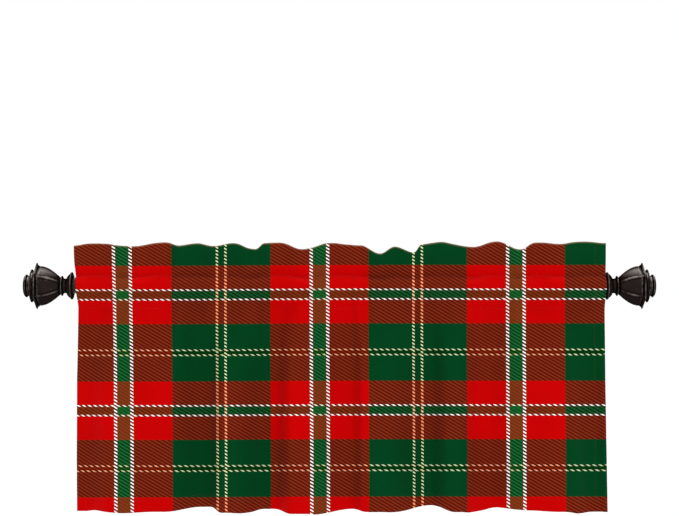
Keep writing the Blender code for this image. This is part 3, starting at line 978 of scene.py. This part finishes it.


# The finials. Two hollow bronze castings, screwed into the rod's ends: a turned foot and neck, a six-sided
# body with soft corners and sunk faces that opens to a proud rim, and a turned cap. Each is 82.4 mm long.
# Black patina is left in the hollows and comes off the corners and rims. Their lighter colour is partly bare
# metal and partly a painted highlight. The upper side faces of the body carry a painted highlight, and the
# undersides painted shade.
FOOT_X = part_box("finial_right")[0].x
TURNED_SIDES = 56
ARC_STEPS = 4  # straight steps in each round stretch of an outline
BODY_START = 0.0200  # the body, from the finial's inner face: where it starts, and where it meets the rim
BODY_END = 0.0550
RIM_END = 0.0620
BODY_NECK = 0.0141
BODY_MOUTH = 0.0338
BODY_STEPS = 12
CORNER = 0.0018  # rounding of the body's corners
PANEL_START = 0.0260  # the sunk faces, from the finial's inner face
PANEL_END = 0.0540
PANEL_EDGE = 0.0012  # from a corner to the sunk face
PANEL_DEPTH = 0.0006
PANEL_AREA = 1.4e-5  # a face larger than this is one of a panel's, not of a rounded corner


class Turn(NamedTuple):
    """A corner of an outline, and how far the stretch after it bulges, or hollows where negative."""

    along: float
    radius: float
    bulge: float


FOOT = [
    Turn(0.0000, 0.0206, 0.0),
    Turn(0.0007, 0.0226, 0.0006),
    Turn(0.0031, 0.0226, 0.0),
    Turn(0.0040, 0.0206, 0.0004),
    Turn(0.0092, 0.0160, 0.0),
    Turn(0.0100, 0.0130, -0.0011),
    Turn(0.0164, 0.0136, 0.0),
    Turn(0.0172, 0.0160, 0.0010),
    Turn(0.0194, 0.0160, 0.0),
    Turn(0.0202, 0.0146, 0.0),
    Turn(0.0230, 0.0130, 0.0),
]
RIM = [
    Turn(0.0553, 0.0333, 0.0),
    Turn(0.0560, 0.0345, -0.0009),
    Turn(0.0597, 0.0391, 0.0003),
    Turn(0.0611, 0.0391, 0.0),
    Turn(0.0617, 0.0380, 0.0),
    Turn(0.0619, 0.0304, 0.0),
    Turn(0.0632, 0.0270, 0.0),
]
CAP = [
    Turn(0.0600, 0.0230, 0.0),
    Turn(0.0622, 0.0266, -0.0010),
    Turn(0.0672, 0.0250, 0.0),
    Turn(0.0684, 0.0276, 0.0003),
    Turn(0.0694, 0.0276, 0.0),
    Turn(0.0700, 0.0262, 0.0),
    Turn(0.0703, 0.0192, 0.0),
    Turn(0.0711, 0.0177, -0.0004),
    Turn(0.0763, 0.0175, 0.0),
    Turn(0.0771, 0.0190, 0.0004),
    Turn(0.0786, 0.0190, 0.0011),
    Turn(0.0820, 0.0120, 0.0003),
    Turn(0.0824, 0.0030, 0.0),
]
RIMS_WORN_AND_HIGHLIT = (0.0019, 0.0183, 0.0553, 0.0604, 0.0688, 0.0742, 0.0783)
DARK_GROOVES = (0.0108, 0.0160, 0.0220, 0.0575, 0.0645, 0.0712, 0.0763)
RIM_WIDTH = 0.0006
GROOVE_WIDTH = 0.0012
CORNER_WEAR_AND_HIGHLIGHT = 0.0020  # how far from a corner the metal is lighter: partly bare, partly a painted highlight
CORNER_GROOVE = 0.0032  # from a corner to the dark line along the sunk face's edge
# A painted highlight for the upper side faces of the body.
BRONZE_PAINTED_HIGHLIGHT = (0.210, 0.196, 0.188, 1)
BRONZE_DARK = (0.003, 0.002, 0.002, 1)
BRONZE_EDGE = (0.12, 0.10, 0.09, 1)  # what the patina mirrors where it is seen along its surface


def rings_of(outline):
    """The outline as (along, radius) rings, with its bulges and hollows in short steps."""
    rings = []
    for a, b in zip(outline, outline[1:]):
        steps = ARC_STEPS if a.bulge else 1
        run, climb = b.along - a.along, b.radius - a.radius
        push = 4 * a.bulge / hypot(run, climb)
        for step in range(steps):
            share = step / steps
            swell = push * share * (1 - share)
            rings.append((a.along + share * run - swell * climb, a.radius + share * climb + swell * run))
    return [*rings, tuple(outline[-1])[:2]]


def cast(rings, sides):
    """A closed solid: a disc square to the rod, with a corner on top, extruded and resized ring by ring."""
    bpy.ops.object.select_all(action="DESELECT")
    along, radius = rings[0]
    bpy.ops.mesh.primitive_circle_add(
        vertices=sides,
        radius=radius,
        fill_type="NGON",
        location=(FOOT_X + along, 0, 0),
        rotation=(pi / 2, 0, pi / 2),
    )
    made = bpy.context.object
    bpy.ops.object.transform_apply(location=True, rotation=True, scale=True)
    bpy.ops.object.mode_set(mode="EDIT")
    bpy.ops.mesh.select_all(action="SELECT")
    for (along, radius), (next_along, next_radius) in zip(rings, rings[1:]):
        bpy.ops.mesh.extrude_region_move(TRANSFORM_OT_translate={"value": (next_along - along, 0, 0)})
        wider = next_radius / radius
        bpy.ops.transform.resize(value=(1, wider, wider), center_override=(FOOT_X + next_along, 0, 0))
    bpy.ops.mesh.select_all(action="SELECT")
    bpy.ops.mesh.normals_make_consistent(inside=False)
    bpy.ops.mesh.select_all(action="DESELECT")
    bpy.ops.object.mode_set(mode="OBJECT")
    return made


body_rings = []
for step in range(BODY_STEPS + 1):
    share = step / BODY_STEPS
    swell = mix(BODY_NECK, BODY_MOUTH, sin(pi / 2 * share))
    body_rings.append((mix(BODY_START, BODY_END, share), swell))
body = cast(body_rings + rings_of(RIM), 6)
spots = [vertex.co.copy() for vertex in body.data.vertices]
choose(body, "EDGE", lambda edge: abs(spots[edge.vertices[0]].x - spots[edge.vertices[1]].x) > 1e-5)
bpy.ops.mesh.bevel(offset=CORNER, segments=3, affect="EDGES")
bpy.ops.object.mode_set(mode="OBJECT")
choose(
    body,
    "FACE",
    lambda face: PANEL_START < face.center.x - FOOT_X < PANEL_END and face.area > PANEL_AREA,
)
bpy.ops.mesh.inset(thickness=PANEL_EDGE, depth=-PANEL_DEPTH)
bpy.ops.object.mode_set(mode="OBJECT")

for outline in (FOOT, CAP):
    turned = cast(rings_of(outline), TURNED_SIDES)
    joint = body.modifiers.new("joint", "BOOLEAN")
    joint.operation = "UNION"
    joint.object = turned
    bpy.context.view_layer.objects.active = body
    bpy.ops.object.modifier_apply(modifier="joint")
    bpy.data.objects.remove(turned)

finial_bronze, start, shader = new_material("finial_bronze")
place = start.node("TexCoord", out=3)
x, y, z = [start.node("SeparateXYZ", None, {0: place}, out=k) for k in range(3)]
along = x.math("ABSOLUTE") - FOOT_X
radius = (y * y + z * z).math("SQRT")

# Lighter metal on the corners and rims, in patches and most where they look up and sideways: partly bare
# metal, partly a painted highlight. Black patina in the grooves and beside the corners. Between them, the
# upper side faces of the body carry a painted highlight, and the undersides painted shade.
from_corner = y.math("ARCTAN2", z).math("PINGPONG", pi / 6) * radius
body_middle = (BODY_START + RIM_END) / 2
body_reach = (RIM_END - BODY_START) / 2
on_body = (1 - (along - body_middle).math("ABSOLUTE") / body_reach).clamped()
corner = (1 - from_corner / CORNER_WEAR_AND_HIGHLIGHT).clamped() * on_body
wear_and_highlight = (corner * 3).clamped()
for rim in RIMS_WORN_AND_HIGHLIT:
    wear_and_highlight = wear_and_highlight.math("MAXIMUM", (1.4 - (along - rim).math("ABSOLUTE") / RIM_WIDTH).clamped())
recess = (1 - (from_corner - CORNER_GROOVE).math("ABSOLUTE") / GROOVE_WIDTH).clamped()
recess = recess * (on_body * 4).clamped()
for groove in DARK_GROOVES:
    recess = recess.math("MAXIMUM", (1.5 - (along - groove).math("ABSOLUTE") / GROOVE_WIDTH).clamped())
blotch = start.node("TexNoise", None, {"Vector": place, "Scale": 130.0, "Detail": 5.0})
grain = start.node("TexNoise", None, {"Vector": place, "Scale": 900.0, "Detail": 3.0})
topside = (z / radius) * 0.5 + 0.5
sideways = y.math("ABSOLUTE") / radius
# Bare metal and painted highlight together, stronger on the upper side.
wear_and_highlight = (wear_and_highlight * (blotch * 1.8 - 0.2) + (blotch - 0.62) * 1.2).clamped() * (topside * 0.7 + 0.3)
wear_and_highlight = wear_and_highlight * (sideways * 2.2 - 0.5).clamped()
# A painted highlight on the upper side faces of the body, over painted shade that darkens the undersides.
painted_highlight = ((topside - 0.74) * 12).clamped() * (along * 30 - 0.8).clamped() * (sideways * 1.5).clamped()
colour = painted_highlight.between(topside.between(BRONZE_PAINTED_SHADE, BRONZE), BRONZE_PAINTED_HIGHLIGHT)
colour = wear_and_highlight.between(recess.between(colour, BRONZE_DARK), BRONZE_WORN_AND_HIGHLIT)
relief = start.node("Bump", None, {"Strength": 0.3, "Distance": 0.0003, "Height": blotch + grain * 0.3})
# Less metal towards the undersides, so that they mirror less of the bright floor: painted shade.
metal = (topside * 1.2).clamped() * 0.9
roughness = grain * 0.14 + 0.24 - wear_and_highlight * 0.06
feed(start, shader, Base_Color=colour, Roughness=roughness, Metallic=metal, Normal=relief)
shader.inputs["Specular IOR Level"].default_value = 0.0
shader.inputs["Specular Tint"].default_value = BRONZE_EDGE

body.data.materials.clear()
body.data.materials.append(finial_bronze)
for name, side in (("finial_casting_right", 1), ("finial_casting_left", -1)):
    mesh = body.data.copy()
    mesh.name = name
    if side < 0:
        mesh.transform(Matrix.Scale(-1, 4, (1, 0, 0)))
        mesh.flip_normals()
    casting = bpy.data.objects.new(name, mesh)
    bpy.context.collection.objects.link(casting)
    bpy.ops.object.select_all(action="DESELECT")
    casting.select_set(True)
    bpy.context.view_layer.objects.active = casting
    bpy.ops.object.shade_smooth_by_angle(angle=radians(34))
    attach(casting, "root")
    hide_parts(name.replace("casting_", ""))
bpy.data.objects.remove(body)
